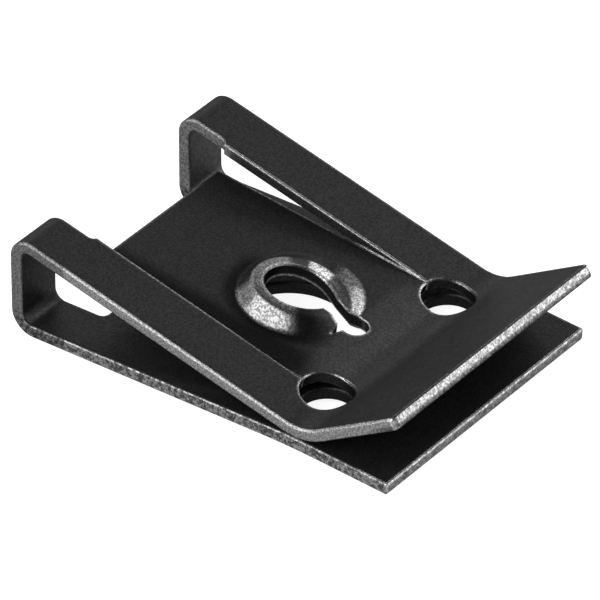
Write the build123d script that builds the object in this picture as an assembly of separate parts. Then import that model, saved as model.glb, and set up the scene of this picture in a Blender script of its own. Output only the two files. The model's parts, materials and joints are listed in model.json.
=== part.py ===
from build123d import *
from math import asin, atan, cos, degrees, pi, radians, sin, tan
import os

# U clip speed nut, folded from one strip of spring steel. Millimetres and degrees.
# While it is modelled, the back wall's outer face is x = 0, +X runs forward to the
# lead-in lip, Y is across the clip and the clip stands on z = 0.

sheet = 0.65                # thickness of the strip
width = 16.0                # width of the strip

# Bottom leg
leg_length = 22.65          # back wall to the leg's front edge
leg_knee = 16.9             # back wall to the knee, where the leg turns down
leg_arch = 0.35             # height of the knee's underside over the panel
knee_bend = 40.0            # radius under the knee

# Back bends and top straps
heel_bend = 0.6             # inside radius at the foot of the back wall
crown_bend = 0.45           # inside radius at the top of the back wall
strap_angle = 13.6          # fall of the straps, below level
grip_gap = 0.03             # space left between the knee and the lip's fold

# Lead-in lip
lip_line = 17.63            # back wall to the fold of the lip
lip_angle = 30.5            # rise of the lip, above level
lip_length = 6.15           # along the lip, from the fold line
lip_bend = 2.4              # radius on top of the fold
lip_corner = 0.35           # rounding of the lip's two front corners

# Window through the back wall, and the tongue lanced out between the straps
tongue_width = 10.1         # between the two lanced slits
slit_gap = 0.05             # width of a slit
window_step = 0.25          # how far the window is cut wider than the slits
window_on_strap = 3.05      # back wall to the window's end in the straps
window_on_leg = 3.62        # back wall to the window's end in the leg
window_corner = 0.35        # rounding of the window's corners
tongue_bend = 7.3           # how far the tongue is bent down from the straps
hinge_bend = 4.0            # radius on top of that bend

# Round relief holes at the ends of the slits, pierced through both layers
relief_diameter = 2.7
relief_line = 16.81         # back wall to the holes' centres
relief_inset = 0.17         # from a slit to the centre of its hole
hinge_setback = 1.1         # from the holes' centres back to the tongue's bend

# Screw impression in the tongue: a rim that climbs one right-hand turn of thread
impression_line = 11.55     # back wall to the screw's axis
impression_diameter = 6.2   # where the metal leaves the flat tongue
land_diameter = 4.86        # where the steep cone ends on the rim's flat land
bore_diameter = 3.7         # across the land's inner edge
bore_taper = 0.1            # how much further in the bore's lower edge stands
corner_share = 0.12         # softness of the cone's two corners, as a share of its run
rim_drop = 0.42             # depth of the land where its thread starts
rim_rise = 0.88             # height of the land at its highest
rim_sag = 0.45              # how far it would come down again by the full turn
climb_start = 50.0          # angle round the axis, from the front, where it leaves its lowest
climb_end = 240.0           # and where it is highest
climb_skew = 0.72           # below one, the early part of the climb is the steeper
rim_break = 0.07            # bevel on the rim's upper edge

# Slot that splits the rim, towards the front
slot_width = 1.36
slot_reach = 4.08           # from the screw's axis to the slot's round end
slot_aside = 0.1            # how far the middle of that end is off the clip's middle
slot_turn = 5.0             # how far the slot is turned from the clip's length
slot_flare = 18.0           # how much its low side spreads towards the bore
notch_depth = 0.7           # nick that frees the raised end of the rim
notch_width = 0.5
notch_line = 0.4            # from the middle of the round end back to the nick

# Clearance hole in the leg, under the impression
clearance_line = 11.5       # back wall to the hole's middle
clearance_width = 5.6
clearance_length = 7.1

edge_round = 0.1            # tumbled outer edges
pierced_break = 0.04        # bevel on the edges that piercing and lancing leave


def unit(angle):
    """Direction at an angle above level, in the side view."""
    return Vector(cos(radians(angle)), sin(radians(angle)))


def offset_corners(corners, distance):
    """Corners of the line that lies a distance to the right of a bent line."""
    headings = [(b - a).normalized() for a, b in zip(corners, corners[1:])]
    rights = [Vector(h.Y, -h.X) for h in headings]
    moved = [corners[0] + rights[0] * distance]
    for corner, before, after in zip(corners[1:-1], rights, rights[1:]):
        moved.append(corner + (before + after) * (distance / (1 + before.dot(after))))
    return moved + [corners[-1] + rights[-1] * distance]


def folded_strip(corners, radii, wide):
    """A strip folded along a line of corners, with the metal to the line's right.

    A radius above zero is a fold to the right, and one below zero a fold to the left,
    both measured on the inside of the fold."""
    face_line = FilletPolyline(*corners, radius=[r + sheet if r > 0 else -r for r in radii])
    back_line = FilletPolyline(*offset_corners(corners, sheet),
                               radius=[r if r > 0 else sheet - r for r in radii])
    ends = [Line(face_line @ 0, back_line @ 0), Line(face_line @ 1, back_line @ 1)]
    profile = make_face([face_line, back_line, *ends])
    return extrude(Plane.XZ * profile, amount=wide / 2, both=True)


# Side view, from the two bends at the back
leg_slope = degrees(atan(leg_arch / leg_knee))
heel_radius = heel_bend + sheet
heel_low = heel_radius * (tan(radians(leg_slope)) + 1 / cos(radians(leg_slope)) - 1)
fold_half = radians((strap_angle + lip_angle) / 2)
fold_lean = radians((lip_angle - strap_angle) / 2)
fold_lift = lip_bend * (1 - cos(fold_lean) / cos(fold_half)) + sheet
fold_height = leg_arch + sheet + grip_gap + fold_lift
crown_height = fold_height + lip_line * tan(radians(strap_angle))


def strap_top(x):
    """Point on the straps' upper face, at a distance from the back wall."""
    return Vector(x, crown_height - x * tan(radians(strap_angle)))


def side_plane(point, fall):
    """Plane on an upper face: local x runs forward along it and local z points out."""
    return Plane(origin=(point.X, 0, point.Y), x_dir=(cos(radians(fall)), 0, -sin(radians(fall))),
                 z_dir=(sin(radians(fall)), 0, cos(radians(fall))))


relief_plane = side_plane(strap_top(relief_line), strap_angle)
relief_axis = Axis(relief_plane.origin, relief_plane.z_dir)
relief_y = tongue_width / 2 - relief_inset
hinge_x = relief_line - hinge_setback * cos(radians(strap_angle))
hinge = strap_top(hinge_x)
tongue_fall = strap_angle - tongue_bend
tongue_length = (hinge_x - window_on_strap) / cos(radians(strap_angle))
impression_radius = impression_diameter / 2
land_radius = land_diameter / 2
root_radius = impression_radius + 0.6 * (impression_radius - land_radius)
bore_radius = bore_diameter / 2
rim_radius = bore_radius + rim_break
lower_rim_radius = bore_radius - bore_taper
ring_opening = degrees(asin(slot_width / 2 / root_radius)) - 3
screw_setback = (hinge_x - impression_line) / cos(radians(tongue_fall))
screw_plane = side_plane(hinge - unit(-tongue_fall) * screw_setback, tongue_fall)


def make_strip():
    """The whole folded strip with its edges rounded, before it is pierced."""
    corners = [Vector(leg_length, heel_low), Vector(leg_knee, leg_arch), Vector(0, 0),
               Vector(0, crown_height), strap_top(lip_line)]
    corners.append(corners[-1] + unit(lip_angle) * lip_length)
    strip = folded_strip(corners, [-knee_bend, heel_bend, crown_bend, -lip_bend], width)
    lip_end = strip.faces().sort_by(Axis.X)[-1]
    strip = fillet(lip_end.edges().filter_by(Axis.Y, reverse=True), lip_corner)
    return fillet(strip.edges(), edge_round)


def pierce(clip, block, upright=Axis.Z):
    """Takes a block out of the sheet and breaks the edges that this leaves on both skins."""
    pierced = clip - block
    rims = new_edges(clip, block, combined=pierced).filter_by(upright, reverse=True)
    return chamfer(rims, pierced_break)


def relief_holes(depth):
    """What the relief holes take away, square to the straps and down to a depth."""
    holes = Part()
    for side in (-1, 1):
        holes += Pos(0, side * relief_y, sheet - depth / 2) * Cylinder(relief_diameter / 2, depth)
    return relief_plane * holes


def make_tongue():
    """The tongue, from its free back edge to the line of the relief holes."""
    corners = [hinge - unit(-tongue_fall) * tongue_length, hinge, strap_top(relief_line)]
    tongue = folded_strip(corners, [hinge_bend], tongue_width - 2 * slit_gap)
    sides = tongue.edges().group_by(Axis.Y)
    free_end = tongue.faces().sort_by(Axis.X)[0].edges().filter_by(Axis.Y)
    tongue = chamfer(sides[0] + sides[-1] + free_end, pierced_break)
    return tongue - relief_holes(4 * sheet)


def plan_block(length, wide, corner, centre_x, z_low, z_high):
    """Upright block with rounded corners, to cut a window straight down."""
    outline = Pos(centre_x, 0, z_low) * RectangleRounded(length, wide, corner)
    return extrude(outline, amount=z_high - z_low)


def cut_window(clip):
    """Opens the back wall and the ends of both layers next to it."""
    window_width = tongue_width + 2 * window_step
    behind = 2 * sheet + heel_bend + window_corner
    half_height = crown_height / 2
    opening = Part()
    for reach, low, high in ((window_on_leg, -sheet, half_height),
                             (window_on_strap, half_height, crown_height + sheet)):
        opening += plan_block(reach + behind, window_width, window_corner,
                              (reach - behind) / 2, low, high)
    return pierce(clip, opening)


def pierce_leg(clip):
    """The leg's relief holes and its clearance hole, cut no higher than the leg."""
    low = -sheet
    high = leg_arch + sheet + grip_gap / 2
    plan = Pos(clearance_line, 0) * SlotOverall(clearance_length, clearance_width)
    for side in (-1, 1):
        plan += Pos(relief_line, side * relief_y) * Circle(relief_diameter / 2)
    return pierce(clip, Pos(0, 0, low) * extrude(plan, amount=high - low))


def pierce_straps(clip):
    """The straps' part of the relief holes, cut no lower than the straps' underside."""
    return pierce(clip, relief_holes(2 * sheet + grip_gap / 2), relief_axis)


def cut_lance(clip):
    """Takes the tongue's own stretch out of the straps' layer, up to the relief holes."""
    length = (relief_line - window_on_strap) / cos(radians(strap_angle)) + window_corner
    stretch = relief_plane * Pos(-length / 2, 0, -sheet / 2) * Box(length, tongue_width, sheet + grip_gap)
    lanced = clip - stretch
    slits = new_edges(clip, stretch, combined=lanced)
    return chamfer(slits.filter_by(Axis(relief_plane.origin, relief_plane.x_dir)), pierced_break)


def rim_height(angle):
    """Height of the rim's upper edge over the tongue, at an angle round the axis."""
    climb = min(max((angle - climb_start) / (climb_end - climb_start), 0), 1)
    past = max(angle - climb_end, 0) / (360 - climb_end)
    lift = (1 - cos(pi * climb ** climb_skew)) / 2
    return (rim_rise + rim_drop) * lift - rim_drop - rim_sag * past ** 2


def cone_share(step):
    """Share of the land's height reached on the cone, part of the way in from its foot.

    Below 0 is still the flat tongue and above 1 the land; both corners are eased."""
    from_end = min(step, 1 - step)
    if from_end > corner_share:
        return step
    eased = max(from_end + corner_share, 0) ** 2 / (4 * corner_share)
    return eased if step < 0.5 else 1 - eased


def ring_line(step, depth, rim=None):
    """Curve round the screw's axis on one skin of the ring, depth below its upper skin.

    The step sets how far it has come along the cone, or rim gives its radius on the land.
    The lower skin's cone stands further in where the metal rises, and further out where
    it is pressed down, so that the sheet keeps its thickness there."""
    turn = 360 - 2 * ring_opening
    run = impression_radius - land_radius
    points = []
    for angle in [ring_opening + turn * share / 30 for share in range(31)]:
        height = rim_height(angle)
        radius = rim or impression_radius - run * step - depth * tan(atan(height / run) / 2)
        spoke = Vector(cos(radians(angle)), sin(radians(angle)))
        points.append(spoke * radius + Vector(0, 0, height * cone_share(step) - depth))
    return Spline(*points)


def ring_root(depth):
    """The ring's round outer edge, on the flat of the tongue."""
    return CenterArc((0, 0, -depth), root_radius, ring_opening, 360 - 2 * ring_opening)


def ring_skin(rim, depth):
    """The faces of one skin of the ring: a flat band, the cone and the land."""
    steps = [(1 + 2 * corner_share) * share / 8 - corner_share for share in range(9)]
    lines = [ring_line(step, depth) for step in steps]
    return [Face.make_surface_from_curves(edge1=ring_root(depth), edge2=lines[0]),
            Shell.make_loft([Wire(line) for line in lines]).face(),
            Face.make_surface_from_curves(lines[-1], ring_line(2, depth, rim))]


def ring_end(faces, angle):
    """Flat face that closes the ring at one side of the slot."""
    across = Plane(origin=(0, 0, 0), z_dir=(-sin(radians(angle)), cos(radians(angle)), 0))
    edges = faces.edges().filter_by(
        lambda edge: all(abs(across.to_local_coords(edge @ share).Z) < 0.001 for share in (0, 0.5, 1)))
    return Face(Wire(edges))


def make_ring():
    """The impression on its own: two skins, the bore between them and two ends."""
    bore_lines = [ring_line(2, 0, rim_radius), ring_line(2, rim_break, rim_radius - rim_break),
                  ring_line(2, sheet, lower_rim_radius)]
    sides = [Face.make_surface_from_curves(a, b) for a, b in zip(bore_lines, bore_lines[1:])]
    sides.append(Face.extrude(ring_root(sheet), Vector(0, 0, sheet)))
    faces = ShapeList(ring_skin(rim_radius, 0) + ring_skin(lower_rim_radius, sheet) + sides)
    return Solid(Shell([*faces, ring_end(faces, ring_opening), ring_end(faces, -ring_opening)]))


def make_slot():
    """Everything cut away between the two ends of the rim."""
    half = slot_width / 2
    back = slot_reach - half - 0.3 * bore_radius
    spread = half + (back - half / 2) * tan(radians(slot_flare))
    plan = Pos(-back / 2, 0) * Rectangle(back, slot_width) + Circle(half)
    plan += make_face(Polyline((-back, 0), (-back, spread), (-half / 2, half), (-half / 2, 0),
                               close=True))
    nick = [(-notch_line - notch_width / 2, -half / 2), (-notch_line + notch_width / 2, -half / 2),
            (-notch_line, -half - notch_depth)]
    plan += make_face(Polyline(*nick, close=True))
    middle = Pos(slot_reach - half, -slot_aside, -2 * sheet) * Rot(0, 0, -slot_turn)
    return middle * extrude(plan, amount=4 * sheet)


def make_threaded_tongue():
    """The tongue with its screw impression."""
    tongue = make_tongue() - screw_plane * Cylinder(root_radius, 4 * sheet)
    return tongue + screw_plane * make_ring() - screw_plane * make_slot()


def make_clip():
    """The finished clip, standing with the origin under the middle of its outline."""
    strip = cut_lance(pierce_straps(pierce_leg(cut_window(make_strip()))))
    clip = strip + make_threaded_tongue()
    box = clip.bounding_box()
    return Pos(-(box.min.X + box.max.X) / 2, 0, -box.min.Z) * clip


os.makedirs("parts", exist_ok=True)
clip = make_clip()
export_step(clip, "parts/spring_clip.step")
box = clip.bounding_box()
print("size", box.size, "volume", clip.volume, "solids", len(clip.solids()), "valid", clip.is_valid)
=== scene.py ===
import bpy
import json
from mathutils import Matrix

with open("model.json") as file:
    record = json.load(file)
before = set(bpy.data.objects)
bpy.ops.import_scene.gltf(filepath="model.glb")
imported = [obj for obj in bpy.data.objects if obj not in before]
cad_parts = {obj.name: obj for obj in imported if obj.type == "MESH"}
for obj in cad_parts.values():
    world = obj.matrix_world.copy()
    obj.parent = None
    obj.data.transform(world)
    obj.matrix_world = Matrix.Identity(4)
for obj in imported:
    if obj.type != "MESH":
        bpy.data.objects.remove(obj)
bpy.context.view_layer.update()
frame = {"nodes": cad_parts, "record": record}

import json
from math import cos, pi, radians, sin

import bpy
from mathutils import Vector

MM = 0.001
clip = frame["nodes"]["spring_clip"]
screw = next(m for m in frame["record"]["mounts"] if m["name"] == "screw_impression")


# ---------------------------------------------------------------- shader nodes

class Nodes:
    """The shader nodes of a material or a world, which starts empty."""

    def __init__(self, owner):
        owner.use_nodes = True
        self.tree = owner.node_tree
        self.tree.nodes.clear()

    def add(self, kind, inputs=None, **settings):
        """New node. An input is a number, a vector, a colour or another node's output."""
        node = self.tree.nodes.new(kind)
        for name, value in settings.items():
            setattr(node, name, value)
        for name, value in (inputs or {}).items():
            if isinstance(value, bpy.types.NodeSocket):
                self.tree.links.new(value, node.inputs[name])
            else:
                node.inputs[name].default_value = value
        return node

    def maths(self, operation, first, *others):
        for other in others:
            node = self.add("ShaderNodeMath", {0: first, 1: other}, operation=operation)
            first = node.outputs[0]
        return first

    def times(self, *masks):
        return self.maths("MULTIPLY", *masks)

    def most(self, *masks):
        return self.maths("MAXIMUM", *masks)

    def without(self, mask):
        return self.maths("SUBTRACT", 1.0, mask)

    def size_of(self, value):
        return self.maths("ABSOLUTE", value, 0.0)

    def vector_maths(self, operation, *vectors):
        """Dot products and lengths leave by the second output, vectors by the first."""
        node = self.add("ShaderNodeVectorMath", dict(enumerate(vectors)), operation=operation)
        return node.outputs[1 if operation in ("DOT_PRODUCT", "LENGTH") else 0]

    def split(self, vector):
        outputs = self.add("ShaderNodeSeparateXYZ", {"Vector": vector}).outputs
        return outputs["X"], outputs["Y"], outputs["Z"]

    def fade(self, value, span, result=(0.0, 1.0)):
        """Goes smoothly from the first result to the second while the value crosses the span."""
        node = self.add("ShaderNodeMapRange",
                        {"Value": value, "From Min": span[0], "From Max": span[1],
                         "To Min": result[0], "To Max": result[1]}, interpolation_type="SMOOTHSTEP")
        return node.outputs["Result"]

    def blend(self, mask, result):
        """Goes smoothly from the first result where the mask is 0 to the second where it is 1."""
        return self.fade(mask, (0.0, 1.0), result)

    def scaled(self, tone, mask, factor):
        """The tone, multiplied by the factor where the mask is 1."""
        return self.times(tone, self.blend(mask, (1.0, factor)))

    def mix(self, mask, first, second, kind="FLOAT"):
        return self.add("ShaderNodeMix", {"Factor": mask, "A": first, "B": second},
                        data_type=kind).outputs["Result"]

    def noise(self, place, scale, detail):
        return self.add("ShaderNodeTexNoise", {"Vector": place, "Scale": scale, "Detail": detail,
                                               "Roughness": NOISE_ROUGHNESS}).outputs["Fac"]

    def seen_directly(self):
        """1 for what the camera sees, directly or in metal or glass."""
        path = self.add("ShaderNodeLightPath").outputs
        return self.most(path["Is Camera Ray"], path["Is Glossy Ray"], path["Is Transmission Ray"])


# ---------------------------------------------------------------- phosphated spring steel

def mm(*lengths):
    return [length * MM for length in lengths]


# Where a mask goes from 0 to 1 along the clip: x to the front, y to the far side, z up
LEG_Z = mm(1.25, 1.05)              # the lower layer
UPPER_LAYER_Z = mm(1.0, 1.4)
LIP_Z = mm(3.0, 4.0)
FRONT_X = mm(9.0, 9.5)              # the lip, and the leg below it
REAR_X = mm(-8.0, -8.6)             # the loops
WALL_X = mm(-10.4, -10.9)
OUTSIDE_Y = mm(7.4, 7.8)            # from here on y is measured either way from the middle
TONGUE_Y = mm(5.1, 5.06)
TONGUE_X = mm(4.6, 2.5)
SLITS_X = mm(3.8, 3.6)
SHEEN_X, SHEEN_END_X = mm(2.6, 3.6), mm(6.2, 4.8)
SHEEN_Y = mm(5.0, 3.6)
NEAR_SLIT_Y = mm(-2.4, -4.2)        # this one is signed

# The same, away from the screw's axis
DRAWN_REACH = mm(3.25, 3.05)
LAND_REACH = mm(2.6, 2.45)
FOOT_REACH = mm(4.4, 3.1)
PLAIN_REACH = mm(3.3, 3.5)

# The same, for the share of a face's normal that is along one axis
DRAWN_UP = (0.3, 0.5)
CUT_SIDEWAYS = (0.2, 0.5)
CUT_FORWARD = (0.55, 0.7)
CORNER_FORWARD, CORNER_SIDEWAYS = (0.2, 0.4), (0.15, 0.35)
WALL_UP = (0.45, 0.25)
SLIT_SIDEWAYS = (0.97, 0.99)
BACK_WALL_FORWARD = (0.5, 0.9)

# Sectors round the screw's axis in degrees, from the front towards the far side: start, end and
# half the width of their soft borders. The numbers after them say how strong the fainter are.
# All these sectors but NEAR_FOOT place painted highlights on the impression; NEAR_FOOT places
# painted shade round its foot.
FAR_LAND = (84, 116, 4)
NEAR_CONE = (218, 298, 9)
REAR_LAND, REAR_LAND_STRENGTH = (140, 232, 6), 0.6
REAR_CONE, REAR_CONE_STRENGTH = (165, 225, 15), 0.1
FAR_CONE, FAR_CONE_OFF_AND_ON_LAND = (6, 88, 6), (1.0, 0.15)
FAR_CONE_HIGHLIGHT, FAR_CONE_HIGHLIGHT_STRENGTH = (4, 84, 4), 0.7
NEAR_FOOT = (165, 325, 20)

# The lip's slope, and how far below its upper face the darker lower part of its front starts, a
# fracture zone that is darker partly as painted shade
LIP_RISE = radians(30.5)
LIP_FROM_X = 11.0 * MM
TORN_BELOW = mm(0.34, 0.46)

# Edges: how far their shading is rounded, and how far it turns where the coating has worn off
EDGE_ROUNDING, EDGE_SAMPLES = 0.28 * MM, 8
WORN_TURN = (0.99, 0.87)
WORN_SPAN, WORN_FACTORS, OUTER_EDGE_FACTORS = (0.2, 1.0), (0.8, 1.3), (1.0, 1.54)

# Grey of the surface between the dark and the light of its grain, and the places where it differs
# the middle pair is the lighter grey of the painted highlights on the impression
COATED, SCRAPED_AND_HIGHLIT, SHEARED = (0.042, 0.066), (0.14, 0.38), (0.20, 0.43)
# Painted shade along the near slit, round the impression's foot and on the holes' walls; painted
# light on the back wall's inside and in front of the impression
COATED_FACTORS = {"painted_shade": 0.35, "painted_light_on_back_wall": 1.6, "painted_hole_shade": 0.4, "painted_sheen": 1.5}
# forward is a painted highlight on the cut faces at the front; the two after it are a painted
# highlight on the lip's corners and, partly, painted shade on the lower lip front
SHEARED_FACTORS = {"rear": 0.55, "forward": 1.35, "painted_corner_highlight": 2.2, "torn_and_painted_shade": 0.4}
# painted highlight: how much lighter the far land and the far cone are
PAINTED_HIGHLIGHT_FACTOR = 2.6

# Noises, in cells per metre, and the part of their range that is used
NOISE_ROUGHNESS = 0.6
GRAIN, GRAIN_DETAIL, GRAIN_SPAN = 9000.0, 1.5, (0.34, 0.66)
BLOTCHES, BLOTCHES_DETAIL, BLOTCHES_SPAN = 700.0, 3.0, (0.3, 0.7)
LUMPS, LUMPS_DETAIL, LUMPS_SPAN = 5200.0, 2.0, (0.4, 0.6)
LUMPS_FACTORS, FORWARD_LUMPS = (0.3, 1.1), 0.6
GRAIN_DEPTH = 0.016 * MM
GRAIN_STRENGTH = (0.12, 0.35)       # coated, bare

ROUGHNESS = (0.42, 0.48)
BARE_IS_SMOOTHER = 0.18
METALLIC = 0.9
EDGE_TINT = (0.35, 0.35, 0.35, 1)


def steel_places(nodes):
    """Masks of the places where the steel looks different, by name."""
    place = nodes.add("ShaderNodeTexCoord").outputs["Object"]
    normal = nodes.add("ShaderNodeNewGeometry").outputs["Normal"]
    rounded = nodes.add("ShaderNodeBevel", {"Radius": EDGE_ROUNDING},
                        samples=EDGE_SAMPLES).outputs["Normal"]
    x, y, z = nodes.split(place)
    facing_x, facing_y, facing_z = nodes.split(normal)
    facing_side, facing_up_or_down = nodes.size_of(facing_y), nodes.size_of(facing_z)
    off_middle = nodes.size_of(y)

    leg = nodes.fade(z, LEG_Z)
    upper_layer = nodes.fade(z, UPPER_LAYER_Z)
    front = nodes.fade(x, FRONT_X)
    rear = nodes.fade(x, REAR_X)
    outside = nodes.fade(off_middle, OUTSIDE_Y)
    lip = nodes.times(front, nodes.fade(z, LIP_Z))

    # round the screw's axis
    offset = nodes.vector_maths("SUBTRACT", place, screw["pos_m"])
    reach = nodes.vector_maths("LENGTH", nodes.vector_maths("CROSS_PRODUCT", offset, screw["axis"]))
    ahead, beyond = nodes.split(offset)[:2]
    turn = nodes.maths("FLOORED_MODULO", nodes.maths("ARCTAN2", beyond, ahead), 2 * pi)

    def sector(start, end, soft):
        return nodes.times(nodes.fade(turn, (radians(start - soft), radians(start + soft))),
                           nodes.fade(turn, (radians(end + soft), radians(end - soft))))

    # a lighter grey where the punch drew the steel, placed as painted highlights on sectors of the
    # cone and of the land round the bore, brightest on the far land and far cone
    drawn = nodes.times(nodes.fade(reach, DRAWN_REACH), nodes.fade(facing_z, DRAWN_UP))
    land = nodes.fade(reach, LAND_REACH)
    far_land = nodes.times(sector(*FAR_LAND), land)
    rubbed_and_highlit = nodes.most(far_land,
                        sector(*NEAR_CONE),
                        nodes.times(sector(*REAR_LAND), land, REAR_LAND_STRENGTH),
                        nodes.times(sector(*REAR_CONE), REAR_CONE_STRENGTH),
                        nodes.times(sector(*FAR_CONE), nodes.blend(land, FAR_CONE_OFF_AND_ON_LAND)))
    painted_highlight = nodes.most(far_land, nodes.times(sector(*FAR_CONE_HIGHLIGHT), FAR_CONE_HIGHLIGHT_STRENGTH))

    # sheared faces, and edges that have worn
    turned = nodes.vector_maths("DOT_PRODUCT", rounded, normal)
    worn = nodes.times(nodes.fade(turned, WORN_TURN), nodes.most(front, nodes.without(leg)))
    sideways = nodes.times(nodes.most(outside, rear), nodes.fade(facing_side, CUT_SIDEWAYS))
    forward = nodes.times(front, nodes.fade(facing_x, CUT_FORWARD))
    # painted highlight on the lip's corners
    painted_corner_highlight = nodes.times(lip, nodes.fade(facing_x, CORNER_FORWARD),
                         nodes.fade(facing_side, CORNER_SIDEWAYS))
    lip_up = Vector((-sin(LIP_RISE), 0, cos(LIP_RISE)))
    lip_top = max(lip_up.dot(v.co) for v in clip.data.vertices if v.co.x > LIP_FROM_X)
    # the lower part of the lip's front, darker as a fracture zone and as painted shade
    torn_and_painted_shade = nodes.times(lip, nodes.fade(nodes.vector_maths("DOT_PRODUCT", place, lip_up),
                                       [lip_top - below for below in TORN_BELOW]))

    # painted shade on the walls of the holes, without the sides of the slits, and painted light on
    # the back wall's inside
    lanced = nodes.times(nodes.fade(facing_side, SLIT_SIDEWAYS), nodes.fade(reach, PLAIN_REACH),
                         nodes.fade(x, SLITS_X))
    painted_hole_shade = nodes.times(nodes.fade(facing_up_or_down, WALL_UP),
                          nodes.without(nodes.most(front, rear, outside)),
                          nodes.blend(lanced, (1.0, 0.0)))
    # painted light: the back wall's inside made lighter
    painted_light_on_back_wall = nodes.times(nodes.fade(x, WALL_X), nodes.fade(facing_x, BACK_WALL_FORWARD))

    # painted shade along the near slit and round the impression's foot, and a painted highlight in
    # front of it
    tongue = nodes.times(nodes.fade(off_middle, TONGUE_Y), nodes.fade(x, TONGUE_X), upper_layer)
    foot = nodes.times(nodes.fade(reach, FOOT_REACH), sector(*NEAR_FOOT))
    painted_shade = nodes.times(tongue, nodes.most(nodes.fade(y, NEAR_SLIT_Y), foot))
    # painted highlight: the coating made lighter in a band in front of the impression
    painted_sheen = nodes.times(nodes.fade(x, SHEEN_X), nodes.fade(x, SHEEN_END_X),
                        nodes.fade(off_middle, SHEEN_Y), upper_layer)

    coarse = nodes.times(sideways, leg)
    return {"place": place, "rubbed_and_highlit": nodes.times(drawn, rubbed_and_highlit), "painted_highlight": painted_highlight,
            "worn": worn, "outer_edge": nodes.times(worn, nodes.most(front, outside)),
            "cut": nodes.most(sideways, forward, worn), "coarse": coarse, "forward": forward,
            "rear": rear, "painted_corner_highlight": painted_corner_highlight, "torn_and_painted_shade": torn_and_painted_shade, "painted_hole_shade": painted_hole_shade,
            "painted_light_on_back_wall": painted_light_on_back_wall, "painted_shade": painted_shade, "painted_sheen": painted_sheen,
            "normal": nodes.mix(coarse, rounded, normal, "VECTOR")}


def steel_grey(nodes, at, speckle):
    """The surface's grey: coated, sheared, or lighter where the punch drew it as painted
    highlights, with painted shade and light in places.
    """
    coated = nodes.blend(speckle, COATED)
    for where, factor in COATED_FACTORS.items():
        coated = nodes.scaled(coated, at[where], factor)
    scraped_and_highlit = nodes.scaled(nodes.blend(speckle, SCRAPED_AND_HIGHLIT), at["painted_highlight"], PAINTED_HIGHLIGHT_FACTOR)
    lumps = nodes.fade(nodes.noise(at["place"], LUMPS, LUMPS_DETAIL), LUMPS_SPAN, LUMPS_FACTORS)
    lumpy = nodes.most(at["coarse"], nodes.times(at["forward"], FORWARD_LUMPS))
    sheared = nodes.times(nodes.blend(speckle, SHEARED), nodes.mix(lumpy, 1.0, lumps),
                          nodes.fade(at["worn"], WORN_SPAN, WORN_FACTORS),
                          nodes.fade(at["outer_edge"], WORN_SPAN, OUTER_EDGE_FACTORS))
    for where, factor in SHEARED_FACTORS.items():
        sheared = nodes.scaled(sheared, at[where], factor)
    return nodes.mix(at["rubbed_and_highlit"], nodes.mix(at["cut"], coated, sheared), scraped_and_highlit)


def steel_material():
    """Dark, oiled phosphate on spring steel, bare and coarse where it was cut, worn or drawn, with
    painted highlights on the drawn impression and painted shade and light elsewhere.
    """
    material = bpy.data.materials.new("phosphated_spring_steel")
    nodes = Nodes(material)
    at = steel_places(nodes)
    grain = nodes.noise(at["place"], GRAIN, GRAIN_DETAIL)
    blotches = nodes.noise(at["place"], BLOTCHES, BLOTCHES_DETAIL)
    bare = nodes.most(at["rubbed_and_highlit"], at["cut"])
    bump = nodes.add("ShaderNodeBump", {"Strength": nodes.blend(bare, GRAIN_STRENGTH),
                                        "Distance": GRAIN_DEPTH, "Height": grain,
                                        "Normal": at["normal"]})
    shader = nodes.add("ShaderNodeBsdfPrincipled", {
        "Base Color": steel_grey(nodes, at, nodes.fade(grain, GRAIN_SPAN)),
        "Metallic": METALLIC,
        "Roughness": nodes.maths("SUBTRACT", nodes.fade(blotches, BLOTCHES_SPAN, ROUGHNESS),
                                 nodes.times(bare, BARE_IS_SMOOTHER)),
        "Specular Tint": EDGE_TINT,
        "Normal": bump.outputs["Normal"]})
    nodes.add("ShaderNodeOutputMaterial", {"Surface": shader.outputs["BSDF"]})
    return material


steel = steel_material()
for slot in clip.material_slots:
    slot.material = steel


# ---------------------------------------------------------------- studio

# How white the room is in reflections, from the horizon up to the ceiling, and how far it is
# dimmed on one side. The light that it gives to matt surfaces is much weaker.
HORIZON_TO_CEILING, ROOM_TONES = (0.0, 0.5), (0.8, 0.06)
DIM_SIDE, DIM_SPAN, DIMMED = (0.38, -0.50, 0.78), (0.7, 0.93), (1.0, 0.1)
ROOM_FILL = 0.15

FLOOR_SIZE, FLOOR_DROP = 3.0, 0.02 * MM
FLOOR_GREY = (0.5, 0.5, 0.5, 1)
FLOOR_SEEN, FLOOR_REFLECTED = 0.9, 0.4     # its own white, in the picture and in the steel

SOFTBOX_DISTANCE = 0.5
SOFTBOXES = (      # name, azimuth from +X towards +Y, elevation, width and height in m, radiance
    ("left", 247, 30, 0.80, 0.60, 2.8),
    ("back left", 168, 30, 0.30, 0.30, 0.7),
    ("back", 116, 21, 0.66, 0.26, 1.4),
    ("far", 78, 48, 0.14, 0.20, 2.1),
    ("far right", 54, 22, 0.50, 0.38, 2.5),
)


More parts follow.
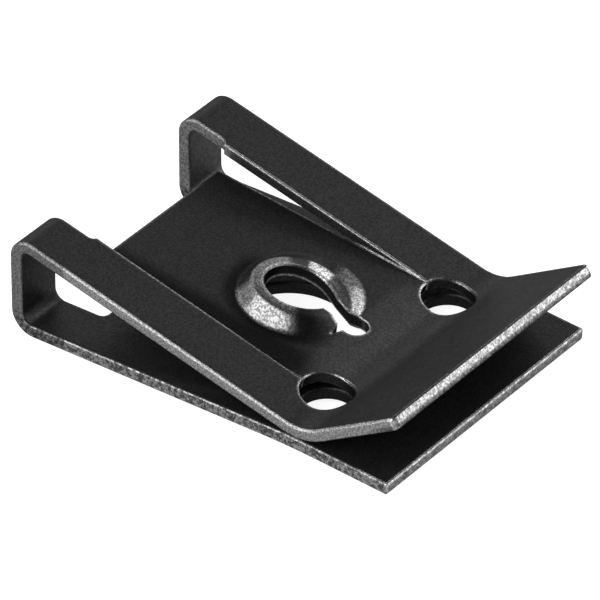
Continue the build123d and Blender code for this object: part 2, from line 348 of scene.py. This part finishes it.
def make_room():
    """White all round, with a dim ceiling and a dim side behind the camera."""
    world = bpy.data.worlds.new("studio")
    bpy.context.scene.world = world
    nodes = Nodes(world)
    camera_ray = nodes.add("ShaderNodeLightPath").outputs["Is Camera Ray"]
    toward = nodes.add("ShaderNodeTexCoord").outputs["Generated"]
    up = nodes.vector_maths("DOT_PRODUCT", toward, (0, 0, 1))
    dim = nodes.vector_maths("DOT_PRODUCT", toward, DIM_SIDE)
    shade = nodes.times(nodes.fade(up, HORIZON_TO_CEILING, ROOM_TONES),
                        nodes.fade(dim, DIM_SPAN, DIMMED))
    fill = nodes.add("ShaderNodeBackground", {"Strength": ROOM_FILL})
    backdrop = nodes.add("ShaderNodeBackground", {"Color": nodes.most(shade, camera_ray),
                                                  "Strength": 1.0})
    both = nodes.add("ShaderNodeMixShader", {0: nodes.seen_directly(), 1: fill.outputs[0],
                                             2: backdrop.outputs[0]})
    nodes.add("ShaderNodeOutputWorld", {"Surface": both.outputs[0]})


def make_floor():
    """Pale floor that keeps the clip's shadow and is white where it isn't in shadow."""
    bpy.ops.mesh.primitive_plane_add(size=FLOOR_SIZE, location=(0, 0, -FLOOR_DROP))
    floor = bpy.context.object
    floor.name = "floor"
    material = bpy.data.materials.new("floor_white")
    nodes = Nodes(material)
    camera_ray = nodes.add("ShaderNodeLightPath").outputs["Is Camera Ray"]
    reflected = nodes.times(nodes.seen_directly(), FLOOR_REFLECTED)
    diffuse = nodes.add("ShaderNodeBsdfDiffuse", {"Color": FLOOR_GREY})
    white = nodes.mix(camera_ray, reflected, FLOOR_SEEN)
    glow = nodes.add("ShaderNodeEmission", {"Strength": white})
    both = nodes.add("ShaderNodeAddShader", {0: diffuse.outputs[0], 1: glow.outputs[0]})
    nodes.add("ShaderNodeOutputMaterial", {"Surface": both.outputs[0]})
    floor.data.materials.append(material)


def direction(azimuth, elevation):
    """Unit vector at an azimuth from +X towards +Y, both angles in radians."""
    return Vector((cos(azimuth) * cos(elevation), sin(azimuth) * cos(elevation), sin(elevation)))


def softbox(name, azimuth, elevation, width, height, radiance):
    """Area lamp that faces the clip."""
    lamp = bpy.data.lights.new(name, "AREA")
    lamp.shape = "RECTANGLE"
    lamp.size = width
    lamp.size_y = height
    lamp.energy = radiance * pi * width * height
    holder = bpy.data.objects.new(name, lamp)
    bpy.context.collection.objects.link(holder)
    away = direction(radians(azimuth), radians(elevation))
    holder.location = away * SOFTBOX_DISTANCE
    holder.rotation_euler = away.to_track_quat("Z", "Y").to_euler()


make_room()
make_floor()
for box in SOFTBOXES:
    softbox(*box)


# ---------------------------------------------------------------- camera

# The camera that fits the photograph. At azimuth 0 it would look along +Y.
CAMERA_AZIMUTH, CAMERA_ELEVATION = radians(37.01), radians(35.22)
CAMERA_TARGET = Vector(mm(0.160, -0.283, 2.353))
CAMERA_DISTANCE = 0.41727
FOCAL_LENGTH, SENSOR_WIDTH, SHIFT_X = 518.03, 36.0, -0.00125
CLIP_START, CLIP_END = 0.01, 10.0


def make_camera():
    data = bpy.data.cameras.new("camera")
    data.lens = FOCAL_LENGTH
    data.sensor_width = SENSOR_WIDTH
    data.shift_x = SHIFT_X
    data.clip_start = CLIP_START
    data.clip_end = CLIP_END
    camera = bpy.data.objects.new("camera", data)
    bpy.context.collection.objects.link(camera)
    away = direction(CAMERA_AZIMUTH - pi / 2, CAMERA_ELEVATION)
    camera.location = CAMERA_TARGET + away * CAMERA_DISTANCE
    camera.rotation_euler = (pi / 2 - CAMERA_ELEVATION, 0, CAMERA_AZIMUTH)
    bpy.context.scene.camera = camera


make_camera()
bpy.context.scene.view_settings.view_transform = "Standard"
